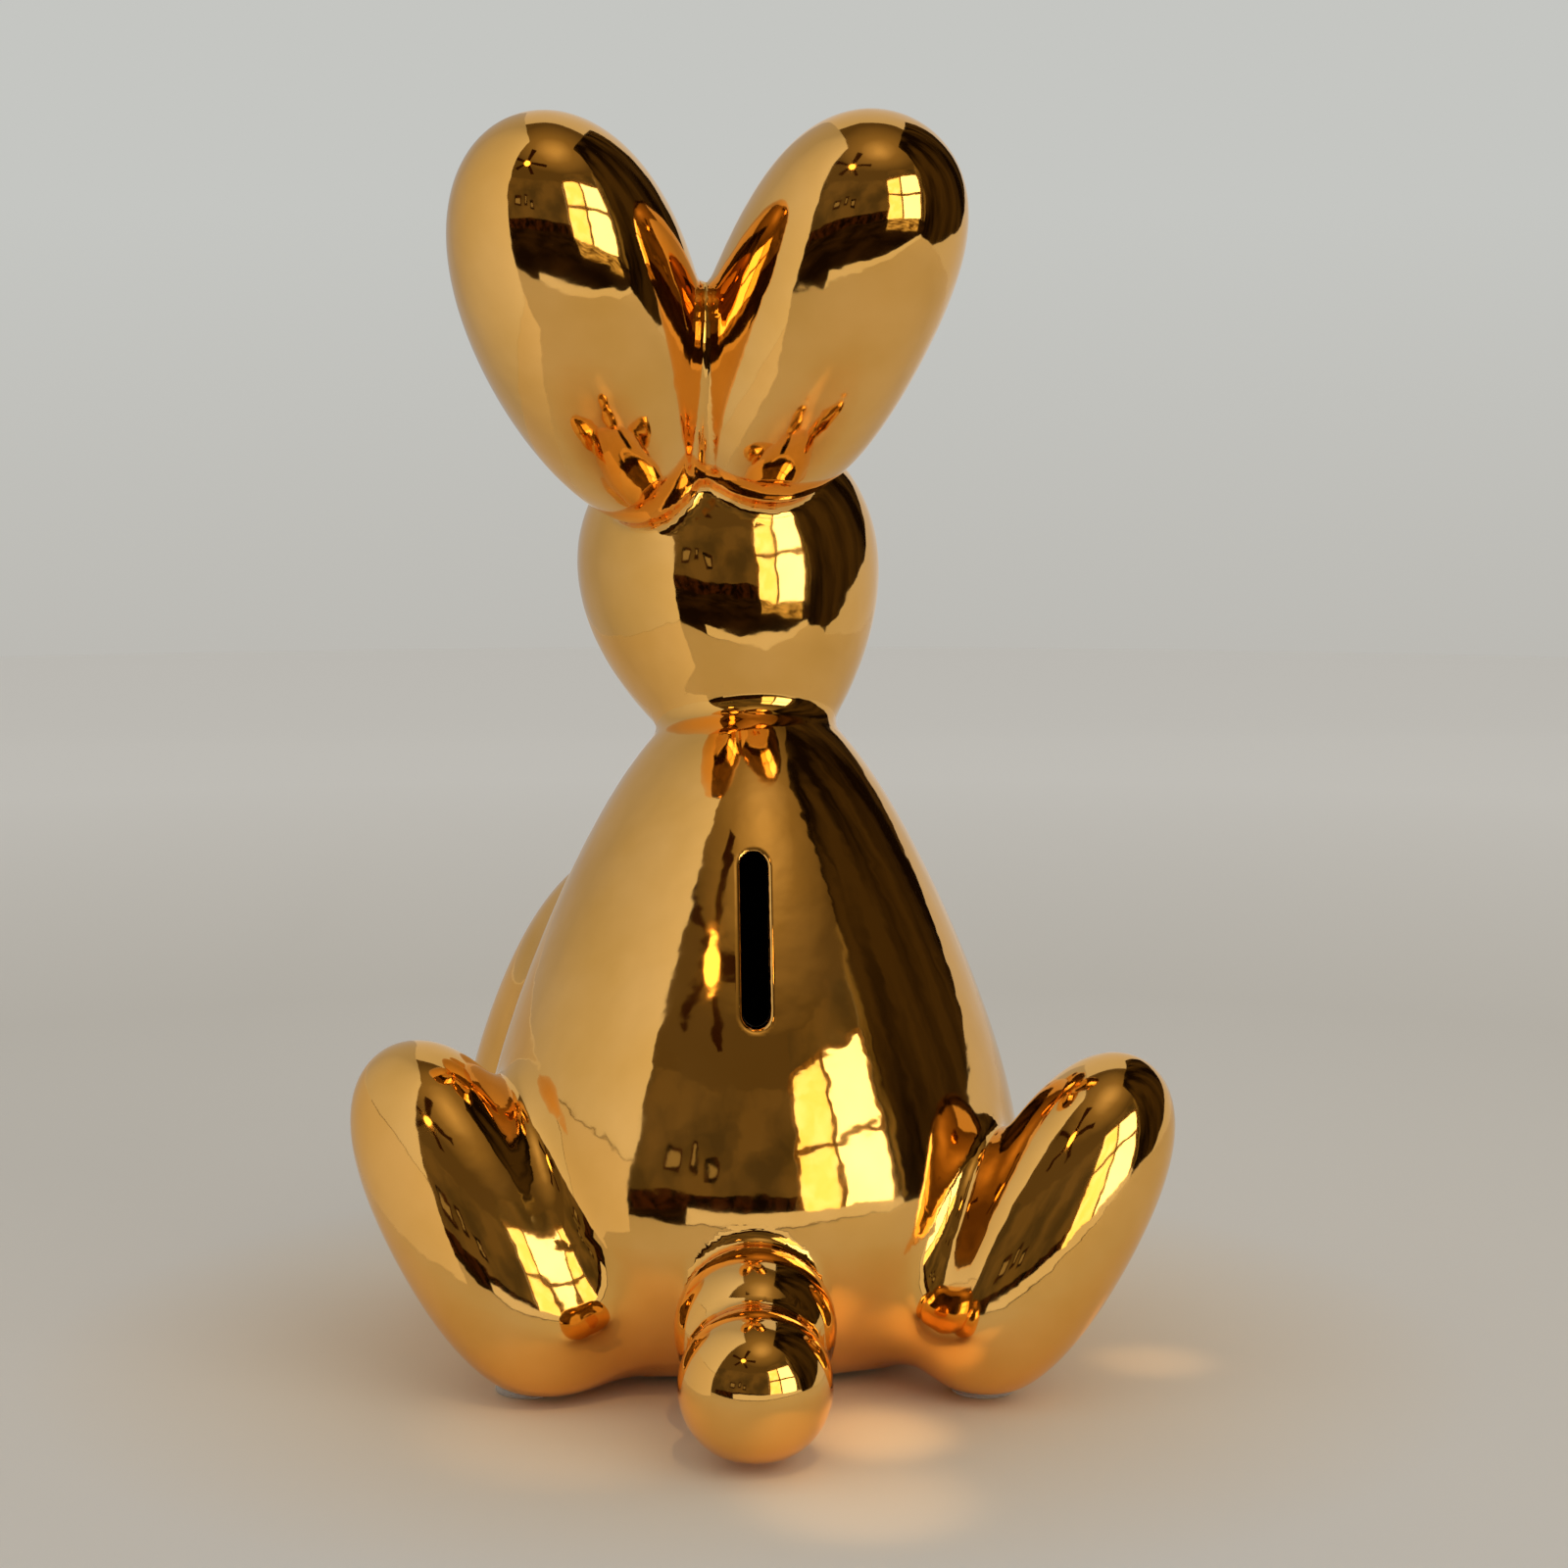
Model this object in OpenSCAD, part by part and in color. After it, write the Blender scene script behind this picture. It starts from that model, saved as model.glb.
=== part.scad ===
// Balloon rabbit coin bank: egg-shaped hollow ceramic lobes joined at creases,
// a coin slot in the back, a plugged hole in the base and four clear pads.
// Millimetres. The rabbit faces -Y, its left side is +X, and the table is z = 0.
// Each lobe is a solid of revolution between two axis ends, "narrow" and "fat".

/* [Casting] */
// Wall of the large lobes
wall = 4; // [3:0.5:5]
// Wall of the tail and nose lobes
small_wall = 3; // [2.5:0.5:3.5]
// Height of the flat foot above the table, which is the pads' thickness
foot_z = 1.5; // [1:0.1:2]
// Radius of the air vents between the lobes
vent_r = 2; // [1.5:0.5:2.5]

/* [Body] */
// Narrow end of the body's axis, inside the head
body_narrow = [0, -19, 137.5]; // [-30:0.1:150]
// Fat end of the body's axis, below the foot
body_fat = [0, 3.5, -8]; // [-10:0.1:10]
// Largest radius of the body
body_r = 56.4; // [54:0.1:58]
// How much fuller the fat end is
body_taper = 0.45; // [0.3:0.01:0.6]
// Thickness of the floor inside the foot
floor_t = 4.5; // [4:0.5:6]

/* [Coin slot] */
// Height of the slot's middle
slot_z = 91.2; // [85:0.1:100]
// Height of the slot, for a 30.6 coin pushed straight in
slot_length = 31.8; // [31.4:0.1:34]
// Width of the slot
slot_width = 5.3; // [4.5:0.1:6]

/* [Base hole] */
// Centre of the hole and of the stopper along Y
hole_y = 3; // [0:0.5:6]
// Radius of the hole
hole_r = 14; // [12:0.1:16]
// Radius of the recess that takes the stopper's flange
recess_r = 20.5; // [19:0.1:22]
// Depth of the recess
recess_depth = 3; // [2.5:0.1:3.5]

/* [Head] */
// Lower end of the head's axis, inside the body
head_narrow = [-3.4, -17, 117]; // [-20:0.1:125]
// Upper end of the head's axis, under the ears
head_fat = [8.8, -42.4, 191.6]; // [-40:0.1:200]
// Largest radius of the head
head_r = 32.1; // [30:0.1:33]
// How much fuller the upper end is
head_taper = 0.25; // [0.1:0.01:0.3]
// Rear end of the muzzle's axis, inside the head
muzzle_narrow = [3.2, -44, 160]; // [-40:0.1:170]
// Front end of the muzzle's axis
muzzle_fat = [2.6, -86, 147.6]; // [-90:0.1:170]
// Largest radius of the muzzle
muzzle_r = 21.6; // [20:0.1:24]
// Radius of the tied nose knot's rim
knot_r = 5.2; // [4.5:0.1:6]

/* [Ears] */
// Lower end of the left ear's axis
ear_left_narrow = [18.8, -12, 172.9]; // [-20:0.1:180]
// Top end of the left ear's axis
ear_left_fat = [45.2, 34, 249.2]; // [-30:0.1:260]
// Largest radius of the left ear
ear_left_r = 23.4; // [22:0.1:26]
// Lower end of the right ear's axis
ear_right_narrow = [2.4, -12, 179.3]; // [-20:0.1:180]
// Top end of the right ear's axis
ear_right_fat = [-29.7, 32, 248.9]; // [-40:0.1:260]
// Largest radius of the right ear
ear_right_r = 22.6; // [22:0.1:26]
// Where the crease between the ears starts, at its lower end
ear_crease_low = [6, 0, 180.4]; // [0:0.1:185]
// Where the crease between the ears ends, at the notch
ear_crease_top = [8.6, 0, 222.3]; // [0:0.1:230]

/* [Forelegs] */
// Upper end of the left foreleg's axis, at the chest
foreleg_left_narrow = [24.6, -34, 99.2]; // [-40:0.1:105]
// Foot end of the left foreleg's axis
foreleg_left_fat = [54, -50, 1.5]; // [-55:0.1:60]
// Upper end of the right foreleg's axis, at the chest
foreleg_right_narrow = [-19.6, -34, 99.2]; // [-40:0.1:105]
// Foot end of the right foreleg's axis
foreleg_right_fat = [-46.5, -50, 1.5]; // [-55:0.1:60]
// Largest radius of a foreleg
foreleg_r = 20; // [18:0.1:21]

/* [Hind legs] */
// Rear end of the left hind leg's axis, at the rump
hind_left_rump = [36, 41, 3.2]; // [-50:0.1:50]
// Toe end of the left hind leg's axis
hind_left_toe = [73.9, 14.1, 66.4]; // [-20:0.1:80]
// Largest radius of the left hind leg
hind_left_r = 18.6; // [16:0.1:22]
// Rear end of the right hind leg's axis, at the rump
hind_right_rump = [-39.7, 41.5, 2.7]; // [-50:0.1:50]
// Toe end of the right hind leg's axis
hind_right_toe = [-77.7, 27, 65.8]; // [-90:0.1:70]
// Largest radius of the right hind leg
hind_right_r = 17.2; // [16:0.1:22]

/* [Tail] */
// Centre of the tail's root lobe
tail_root = [0.8, 60, 20.9]; // [0:0.1:65]
// Radius of the root lobe
tail_root_r = 15.6; // [14:0.1:17]
// Centre of the ball at the tail's end
tail_end = [1.3, 78.5, 15.3]; // [0:0.1:85]
// Radius of the ball
tail_end_r = 14.6; // [13:0.1:15]

/* [Stopper] */
// Radial clearance of the plug in the hole
plug_clearance = 0.1; // [0.05:0.05:0.1]
// Radius of the flange
flange_r = 19.5; // [18:0.1:20]
// Thickness of the flange
flange_t = 1.8; // [1.5:0.1:2]
// Length of the plug above the flange
plug_length = 9; // [7:0.5:11]

/* [Pads] */
// Radius of a pad
pad_r = 6.5; // [5:0.1:7]
// Centre of the rear left pad, under the hind leg
pad_rear_left_at = [45.5, 30]; // [-50:0.1:50]
// Centre of the rear right pad, under the hind leg
pad_rear_right_at = [-45.5, 33]; // [-50:0.1:50]
// Centre of the front left pad, under the foreleg
pad_front_left_at = [51.2, -48.4]; // [-55:0.1:55]
// Centre of the front right pad, under the foreleg
pad_front_right_at = [-43.8, -48.4]; // [-55:0.1:55]

/* [Hidden] */
$fn = 96;
bands = 36;              // conical bands along a lobe
far = 400;               // larger than the whole bank
gold = "#d9a441";
rubber = "#2b2b2b";
clear_pad = "#e8e6e0";
seat_z = foot_z + recess_depth;      // where the stopper's flange rests
seat_top_z = seat_z + wall;          // top of the thickened rim round the hole
head_fullness = -0.08;
foreleg_fullness = 0.1;
hind_fullness = 0.18;
body_fullness = 0.17;
ear_left_taper = 0.16;
ear_left_fullness = 0.04;
ear_right_taper = 0.03;
ear_right_fullness = 0.26;
muzzle_taper = 0.12;

// Radius of a lobe at t, from -1 at its narrow end to 1 at its fat end, before scaling
function swell(t, taper, fullness) =
    sqrt(max(0, 1 - t * t)) * (1 + taper * t + fullness * t * t);
function widest(taper, fullness) =
    max([for (t = [-1:0.01:1]) swell(t, taper, fullness)]);
function along(t, length) = (1 + t) * length / 2;
function unit(v) = v / norm(v);

muzzle_axis = unit(muzzle_fat - muzzle_narrow);
nose_seat = muzzle_fat - muzzle_axis;    // flat on the muzzle's tip that takes the knot

// The lobe's outline turned about Z, with its narrow end at the origin
module upright_lobe(length, r, taper, fullness) {
    k = r / widest(taper, fullness);
    rotate_extrude()
        polygon([for (i = [0:bands])
            let (t = -cos(180 * i / bands))
            [i == 0 || i == bands ? 0 : k * swell(t, taper, fullness), along(t, length)]]);
}

// Turns its children from +Z to the line between two points
module between(from, to) {
    d = to - from;
    translate(from) rotate([0, acos(d.z / norm(d)), atan2(d.y, d.x)]) children();
}

// A lobe between two axis ends, made smaller by inset on every side
module lobe(narrow, fat, r, taper, fullness, inset = 0) {
    step = inset * unit(fat - narrow);
    between(narrow + step, fat - step)
        upright_lobe(norm(fat - narrow) - 2 * inset, r - inset, taper, fullness);
}

// A round lobe, its bands running across the line of the tail
module ball(centre, r, inset = 0) { lobe(centre - [0, r, 0], centre + [0, r, 0], r, 0, 0, inset); }

module rod(from, to, r) { between(from, to) cylinder(h = norm(to - from), r = r); }
module below(z) { translate([-far / 2, -far / 2, z - far]) cube(far); }

// Outer forms, which the neighbouring lobes are trimmed by
module body_form(inset = 0) { lobe(body_narrow, body_fat, body_r, body_taper, body_fullness, inset); }
module head_form(inset = 0) { lobe(head_narrow, head_fat, head_r, head_taper, head_fullness, inset); }
module muzzle_form(inset = 0) { lobe(muzzle_narrow, muzzle_fat, muzzle_r, muzzle_taper, 0, inset); }

// The hollow that holds the coins, with a thicker floor round the base hole
module coin_cavity() {
    difference() {
        body_form(wall);
        below(foot_z + floor_t);
        translate([0, hole_y, 0]) cylinder(h = seat_top_z, r = recess_r + wall);
    }
}

// A slot with round ends that runs straight through the back wall
module slot_cutter() {
    reach = (slot_length - slot_width) / 2;
    translate([0, 0, slot_z]) rotate([-90, 0, 0]) {
        for (side = [-1, 1])
            translate([0, side * reach, 0]) cylinder(h = far / 4, r = slot_width / 2);
        translate([-slot_width / 2, -reach, 0]) cube([slot_width, 2 * reach, far / 4]);
    }
}

// Air vents from the coin cavity into the lobes that sit on the body
module body_vents() {
    rod([5, -18, 116], [8, -27, 140], vent_r);
    rod([26, 13, 36], [56, 27, 37], vent_r);
    rod([-26, 15, 36], [-58, 33, 37], vent_r);
    rod([16, -20, 56], [43, -47, 56], vent_r);
    rod([-14, -20, 56], [-39, -49, 56], vent_r);
    rod([0, 38, 20], [0, 60, 20], vent_r);
}

module body_shell() {
    color(gold) difference() {
        body_form();
        below(foot_z);
        coin_cavity();
        slot_cutter();
        translate([0, hole_y, 0]) cylinder(h = far / 10, r = hole_r);
        translate([0, hole_y, 0]) cylinder(h = seat_z, r = recess_r);
        body_vents();
    }
}

module head_shell() {
    color(gold) difference() {
        head_form();
        head_form(wall);
        body_form();
        rod(muzzle_narrow, muzzle_fat, vent_r);
    }
}

module muzzle() {
    color(gold) difference() {
        muzzle_form();
        muzzle_form(small_wall);
        head_form();
        between(nose_seat, nose_seat + muzzle_axis) cylinder(h = knot_r, r = muzzle_r);
    }
}

// The tied end of the balloon: a short neck that flares to a rolled rim
module nose_knot() {
    foot_r = 5;
    neck_r = 3;
    neck_length = 4.5;
    rim_r = 1.4;
    color(gold) between(nose_seat, nose_seat + muzzle_axis)
        rotate_extrude() polygon(concat(
            [[0, 0], [foot_r, 0], [neck_r, 1.6]],
            [for (a = [-60:20:120])
                [knot_r - rim_r + rim_r * cos(a), neck_length + rim_r * (1 + sin(a))]],
            [[0, neck_length + rim_r]]
        ));
}

// Everything on one side of the crease between the ears: side is 1 for the left ear
module ear_half(side) {
    lean = atan2(ear_crease_top.x - ear_crease_low.x, ear_crease_top.z - ear_crease_low.z);
    translate(ear_crease_low) rotate([0, lean, 0])
        translate([side > 0 ? 0 : -far, -far / 2, -far / 2]) cube(far);
}

module ear(narrow, fat, r, taper, fullness, side) {
    color(gold) difference() {
        intersection() {
            lobe(narrow, fat, r, taper, fullness);
            ear_half(side);
        }
        lobe(narrow, fat, r, taper, fullness, wall);
        head_form();
    }
}

module ear_left() {
    ear(ear_left_narrow, ear_left_fat, ear_left_r, ear_left_taper, ear_left_fullness, 1);
}
module ear_right() {
    ear(ear_right_narrow, ear_right_fat, ear_right_r, ear_right_taper, ear_right_fullness, -1);
}

module leg(narrow, fat, r, fullness) {
    color(gold) difference() {
        lobe(narrow, fat, r, 0, fullness);
        lobe(narrow, fat, r, 0, fullness, wall);
        body_form();
        below(foot_z);
    }
}

module foreleg_left() {
    leg(foreleg_left_narrow, foreleg_left_fat, foreleg_r, foreleg_fullness);
}
module foreleg_right() {
    leg(foreleg_right_narrow, foreleg_right_fat, foreleg_r, foreleg_fullness);
}
module hind_leg_left() {
    leg(hind_left_rump, hind_left_toe, hind_left_r, hind_fullness);
}
module hind_leg_right() {
    leg(hind_right_rump, hind_right_toe, hind_right_r, hind_fullness);
}

module tail_root_form(inset = 0) { ball(tail_root, tail_root_r, inset); }

module tail_root_lobe() {
    color(gold) difference() {
        tail_root_form();
        tail_root_form(small_wall);
        body_form();
        rod(tail_root, tail_end, vent_r);
    }
}

module tail_ball() {
    color(gold) difference() {
        ball(tail_end, tail_end_r);
        ball(tail_end, tail_end_r, small_wall);
        tail_root_form();
    }
}

// Soft plug: a flange in the recess, a plug in the hole, grip ribs and a pull tab
module stopper() {
    plug_r = hole_r - plug_clearance;
    groove = 0.8;
    tab = [16, 3, foot_z - 0.5];
    flange_z = seat_z - flange_t;
    color(rubber) translate([0, hole_y, 0]) difference() {
        union() {
            translate([0, 0, flange_z]) cylinder(h = flange_t, r = flange_r);
            translate([0, 0, seat_z]) cylinder(h = plug_length - 1.5, r = plug_r);
            translate([0, 0, seat_z + plug_length - 1.5])
                cylinder(h = 1.5, r1 = plug_r, r2 = plug_r - 1.5);
            translate([-tab.x / 2, -tab.y / 2, flange_z - tab.z]) cube([tab.x, tab.y, tab.z]);
        }
        for (z = [5.2:1.6:7])
            translate([0, 0, seat_z + z - 3.4]) difference() {
                cylinder(h = groove, r = plug_r + 1);
                cylinder(h = groove, r = plug_r - groove);
            }
        translate([0, 0, seat_z + 1]) cylinder(h = plug_length, r = plug_r - 4);
    }
}

module pad(at) { color(clear_pad) translate([at.x, at.y, 0]) cylinder(h = foot_z, r = pad_r); }
module pad_rear_left() { pad(pad_rear_left_at); }
module pad_rear_right() { pad(pad_rear_right_at); }
module pad_front_left() { pad(pad_front_left_at); }
module pad_front_right() { pad(pad_front_right_at); }

body_shell();
head_shell();
muzzle();
nose_knot();
ear_left();
ear_right();
foreleg_left();
foreleg_right();
hind_leg_left();
hind_leg_right();
tail_root_lobe();
tail_ball();
stopper();
pad_rear_left();
pad_rear_right();
pad_front_left();
pad_front_right();
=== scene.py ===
"""Looks of a balloon-rabbit coin bank in plated ceramic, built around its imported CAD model.

The bank is a slip casting of hollow balloon lobes. Each visible lobe is meshed from one distance
function, so that neighbours run into each other with the soft creases that glaze and plating leave.
Lengths are in millimetres until a mesh is made, and the rabbit faces -Y with its left side on +X.
"""

import logging
import math
from collections.abc import Callable, Iterable, Sequence
from dataclasses import dataclass, field
from enum import Enum

import bpy
import numpy as np
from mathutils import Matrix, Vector


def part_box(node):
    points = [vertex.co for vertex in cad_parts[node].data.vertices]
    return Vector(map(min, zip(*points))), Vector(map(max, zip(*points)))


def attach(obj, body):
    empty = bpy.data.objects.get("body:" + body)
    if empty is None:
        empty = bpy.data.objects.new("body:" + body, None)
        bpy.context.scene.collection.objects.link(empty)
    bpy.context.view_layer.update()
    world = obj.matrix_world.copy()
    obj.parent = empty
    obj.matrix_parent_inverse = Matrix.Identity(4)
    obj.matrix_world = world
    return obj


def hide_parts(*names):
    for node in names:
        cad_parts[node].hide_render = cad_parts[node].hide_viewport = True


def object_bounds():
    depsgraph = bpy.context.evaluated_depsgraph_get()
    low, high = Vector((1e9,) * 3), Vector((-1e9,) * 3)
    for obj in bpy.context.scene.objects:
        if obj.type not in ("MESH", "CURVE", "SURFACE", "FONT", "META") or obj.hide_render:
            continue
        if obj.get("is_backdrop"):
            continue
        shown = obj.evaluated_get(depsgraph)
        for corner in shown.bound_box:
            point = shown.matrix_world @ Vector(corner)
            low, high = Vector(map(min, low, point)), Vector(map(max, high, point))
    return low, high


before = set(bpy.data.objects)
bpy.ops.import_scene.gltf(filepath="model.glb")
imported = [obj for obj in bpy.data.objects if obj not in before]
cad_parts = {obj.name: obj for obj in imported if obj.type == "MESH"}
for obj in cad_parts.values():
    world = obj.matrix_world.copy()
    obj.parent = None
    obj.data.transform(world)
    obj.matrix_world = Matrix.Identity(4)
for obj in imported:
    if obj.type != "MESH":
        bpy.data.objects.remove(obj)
CAD_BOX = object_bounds()

MM = 0.001
BANK_BODY = "bank"
STOPPER_BODY = "stopper"
LOG = logging.getLogger("bank")

Point = tuple[float, float, float]
Socket = bpy.types.NodeSocket
Material = bpy.types.Material
Piece = bpy.types.Object
Distance = Callable[[np.ndarray], np.ndarray]


# ---------------------------------------------------------------- colour and nodes


def linear(colour: str, alpha: float = 1.0) -> tuple[float, float, float, float]:
    """Turn an sRGB hex colour into Blender's linear RGBA.

    Args:
        colour: Six hex digits after a hash sign.
        alpha: The fourth channel.

    Returns:
        Linear red, green, blue and the given alpha.
    """
    channels = [int(colour[i:i + 2], 16) / 255 for i in (1, 3, 5)]
    bent = [c / 12.92 if c <= 0.04045 else ((c + 0.055) / 1.055) ** 2.4 for c in channels]
    return (*bent, alpha)


def add_node(
    tree: bpy.types.NodeTree,
    kind: str,
    inputs: dict | None = None,
    links: dict | None = None,
    **settings: object,
) -> bpy.types.Node:
    """Add one shader node with its settings, socket values and incoming links.

    Args:
        tree: The node tree that takes the node.
        kind: The node's bl_idname.
        inputs: Socket name or number to its constant value.
        links: Socket name or number to the output socket that feeds it.
        **settings: The node's own properties, such as an operation.

    Returns:
        The new node.
    """
    node = tree.nodes.new(kind)
    for name, value in settings.items():
        setattr(node, name, value)
    for socket, value in (inputs or {}).items():
        node.inputs[socket].default_value = value
    for socket, source in (links or {}).items():
        tree.links.new(source, node.inputs[socket])
    return node


class NodeMaterial:
    """A node material in the making, with the kinds of node that the finishes share."""

    def __init__(self, name: str) -> None:
        """Start an empty material of this name, with each point's place on its object in metres."""
        self.material = bpy.data.materials.new(name)
        self.material.use_nodes = True
        self.tree = self.material.node_tree
        self.tree.nodes.clear()
        self.place = add_node(self.tree, "ShaderNodeTexCoord").outputs["Object"]

    def noise(self, spacing: float, detail: float, place: Socket | None = None) -> Socket:
        """Add a noise.

        Args:
            spacing: Rough spacing of its lumps.
            detail: How many finer layers it has.
            place: Where each point lies, if the object's own places don't do.

        Returns:
            Its value, about 0.5 on average.
        """
        return add_node(self.tree, "ShaderNodeTexNoise", {"Scale": 1 / (spacing * MM), "Detail": detail},
                        {"Vector": self.place if place is None else place}).outputs["Fac"]

    def tones(self, factor: Socket, *stops: tuple[float, str]) -> Socket:
        """Add a colour ramp.

        Args:
            factor: The value that picks the colour.
            *stops: Position and sRGB hex colour of each stop, in order.

        Returns:
            The picked colour.
        """
        node = add_node(self.tree, "ShaderNodeValToRGB", links={"Fac": factor})
        elements = node.color_ramp.elements
        while len(elements) < len(stops):
            elements.new(0.5)
        for element, (position, colour) in zip(elements, stops):
            element.position = position
            element.color = linear(colour)
        return node.outputs["Color"]

    def bump(self, height: Socket, depth: float, normal: Socket | None = None) -> Socket:
        """Return the normals bumped by a height of this depth, on top of normal where that is given."""
        links = {"Height": height} | ({} if normal is None else {"Normal": normal})
        return add_node(self.tree, "ShaderNodeBump", {"Distance": depth * MM}, links).outputs["Normal"]

    def end(self, shader: str, inputs: dict, links: dict) -> Material:
        """Add the shader and the output, with inputs and links as in add_node, and return the material."""
        light = add_node(self.tree, shader, inputs, links).outputs[0]
        add_node(self.tree, "ShaderNodeOutputMaterial", links={"Surface": light})
        return self.material


# ---------------------------------------------------------------- finishes

SURFACE = "ShaderNodeBsdfPrincipled"
GLOW = "ShaderNodeEmission"


@dataclass(frozen=True)
class LustreGold:
    """Gold lustre over glazed earthenware, which was dipped, glaze-fired and then vacuum-plated.

    The eye sees a true metal mirror: a warm yellow gold whose reflections waver a little, because
    the glaze under the plating pooled in slow ripples, with a faint haze where lacquer is thicker.
    """

    name: str = "lustre_gold_on_glaze"
    gold: str = "#FFC56E"
    deep_gold: str = "#F6BB60"
    ripple: float = 7.0        # spacing of the glaze's slow ripples
    dimple: float = 2.6        # spacing of the fine orange peel
    ripple_depth: float = 0.13
    dimple_depth: float = 0.006
    roughness: tuple[float, float] = (0.035, 0.085)

    def make(self) -> Material:
        """Return the metal's material."""
        nodes = NodeMaterial(self.name)
        cloud = nodes.noise(3 * self.ripple, 3.0)
        tone = nodes.tones(cloud, (0.35, self.deep_gold), (0.65, self.gold))
        haze = add_node(nodes.tree, "ShaderNodeMapRange",
                        {"From Min": 0.3, "From Max": 0.75, "To Min": self.roughness[0],
                         "To Max": self.roughness[1]}, {"Value": cloud}).outputs["Result"]
        pooled = nodes.bump(nodes.noise(self.ripple, 1.5), self.ripple_depth)
        peel = nodes.bump(nodes.noise(self.dimple, 2.0), self.dimple_depth, pooled)
        return nodes.end(SURFACE, {"Metallic": 1.0},
                         {"Base Color": tone, "Roughness": haze, "Normal": peel})


@dataclass(frozen=True)
class BisqueClay:
    """White earthenware left bare on the foot and inside, where the kiln shelf and slip touched it.

    The eye sees a chalky off-white with fine grog specks and no shine.
    """

    name: str = "bisque_earthenware"
    clay: str = "#D9CFBF"
    speck: str = "#B8A68C"
    grain: float = 0.9         # spacing of the grog specks
    grit: float = 0.05         # depth of the grit

    def make(self) -> Material:
        """Return the bare clay's material."""
        nodes = NodeMaterial(self.name)
        specks = nodes.noise(self.grain, 4.0)
        tone = nodes.tones(specks, (0.38, self.speck), (0.52, self.clay))
        return nodes.end(SURFACE, {"Roughness": 0.85, "IOR": 1.5},
                         {"Base Color": tone, "Normal": nodes.bump(specks, self.grit)})


@dataclass(frozen=True)
class MouldedRubber:
    """Black natural rubber, compression moulded.

    The eye sees a soft charcoal with a dusty bloom and a fine matt texture off the mould.
    """

    name: str = "black_moulded_rubber"
    rubber: str = "#232323"
    bloom: str = "#3A3A38"
    cloud: float = 8.0         # spacing of the bloom's clouds
    grain: float = 0.5         # spacing of the mould's blast texture
    grain_depth: float = 0.03

    def make(self) -> Material:
        """Return the rubber's material."""
        nodes = NodeMaterial(self.name)
        tone = nodes.tones(nodes.noise(self.cloud, 5.0), (0.42, self.rubber), (0.72, self.bloom))
        blast = nodes.bump(nodes.noise(self.grain, 2.0), self.grain_depth)
        return nodes.end(SURFACE, {"Roughness": 0.62, "IOR": 1.52}, {"Base Color": tone, "Normal": blast})


@dataclass(frozen=True)
class CastPolyurethane:
    """Clear polyurethane bumper, cast as a drop on adhesive film.

    The eye sees a milky clear disc with a bright rim and a few tiny bubbles under a smooth skin.
    """

    name: str = "clear_cast_polyurethane"
    tint: str = "#F4F1EA"
    milk: str = "#DDD8CE"
    bubble: float = 0.8        # spacing of the bubbles

    def make(self) -> Material:
        """Return the clear pad's material."""
        nodes = NodeMaterial(self.name)
        cells = add_node(nodes.tree, "ShaderNodeTexVoronoi", {"Scale": 1 / (self.bubble * MM)},
                         {"Vector": nodes.place})
        tone = nodes.tones(cells.outputs["Distance"], (0.10, self.milk), (0.30, self.tint))
        return nodes.end(SURFACE, {"Roughness": 0.18, "IOR": 1.49, "Transmission Weight": 0.55},
                         {"Base Color": tone})


@dataclass(frozen=True)
class PaperSweep:
    """White studio paper, rolled out as a floor.

    The eye sees a flat, faintly warm white with a very light tooth, with a painted golden glow near the
    bank standing in for the light its gold throws, and a little darker halfway back.
    """

    name: str = "matt_paper_sweep"
    lit_by_gold: str = "#E6D5BB"
    near: str = "#E2DED7"
    middle: str = "#DBD7D0"
    far: str = "#EEECE8"
    tooth: float = 1.5         # spacing of the paper's tooth
    tooth_depth: float = 0.02

    def make(self) -> Material:
        """Return the floor's material, whose tone changes with the metres from the bank."""
        nodes = NodeMaterial(self.name)
        reach = add_node(nodes.tree, "ShaderNodeVectorMath", links={0: nodes.place}, operation="LENGTH")
        # Painted light: the golden tone nearest the bank stands in for the light that the gold throws on
        # the paper.
        tone = nodes.tones(reach.outputs["Value"], (0.07, self.lit_by_gold), (0.15, self.near),
                           (0.42, self.middle), (1.0, self.far))
        tooth = nodes.bump(nodes.noise(self.tooth, 3.0), self.tooth_depth)
        return nodes.end(SURFACE, {"Roughness": 0.9, "Specular IOR Level": 0.2},
                         {"Base Color": tone, "Normal": tooth})


@dataclass(frozen=True)
class GlowCard:
    """A lit card of the studio: one tone of light, or two that drift into each other."""

    name: str
    tone: str
    strength: float = 1.0
    second: str = ""
    drift: float = 400.0       # spacing of the slow change between the tones
    along: tuple[str, float, float] | None = None    # or an axis, and where on it each tone lies
    upright: float = 1.0       # how much longer the change is upwards, as in a curtain's folds

    def make(self) -> Material:
        """Return the card's material."""
        nodes = NodeMaterial(self.name)
        if not self.second:
            return nodes.end(GLOW, {"Color": linear(self.tone), "Strength": self.strength}, {})
        if self.along:
            axis, first, second = self.along
            parts = add_node(nodes.tree, "ShaderNodeSeparateXYZ", links={"Vector": nodes.place})
            change = add_node(nodes.tree, "ShaderNodeMapRange",
                              {"From Min": first * MM, "From Max": second * MM},
                              {"Value": parts.outputs[axis]}).outputs["Result"]
            stops = (0.0, 1.0)
        else:
            drawn = add_node(nodes.tree, "ShaderNodeVectorMath", {1: (1, 1, 1 / self.upright)},
                             {0: nodes.place}, operation="MULTIPLY")
            change = nodes.noise(self.drift, 4.0, drawn.outputs["Vector"])
            stops = (0.40, 0.62)
        tone = nodes.tones(change, *zip(stops, (self.tone, self.second)))
        return nodes.end(GLOW, {"Strength": self.strength}, {"Color": tone})


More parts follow.
